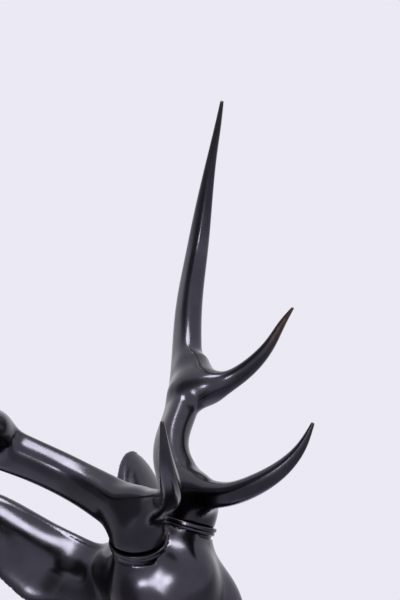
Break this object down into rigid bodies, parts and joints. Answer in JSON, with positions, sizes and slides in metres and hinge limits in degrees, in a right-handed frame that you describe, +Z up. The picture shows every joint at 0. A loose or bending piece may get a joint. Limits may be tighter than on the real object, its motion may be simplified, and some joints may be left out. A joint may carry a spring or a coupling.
{
  "type": "bronze deer sculpture",
  "caption": "Life-size bust of a stag in black-patinated cast bronze, cut flat below, with separately cast antlers seated in turned sockets on the crown.",
  "frame": {"origin": "middle of the flat underside of the neck", "axes": "+Z up, the stag faces -Y, and +X is its left side"},
  "size_m": [0.4449, 0.4588, 0.8532],
  "materials": {
    "bronze": "polished, black patina, worn brown at the tips"
  },
  "bodies": {
    "root": {"head_and_neck": "bronze", "antler_left": "bronze", "antler_right": "bronze"}
  },
  "joints": []
}
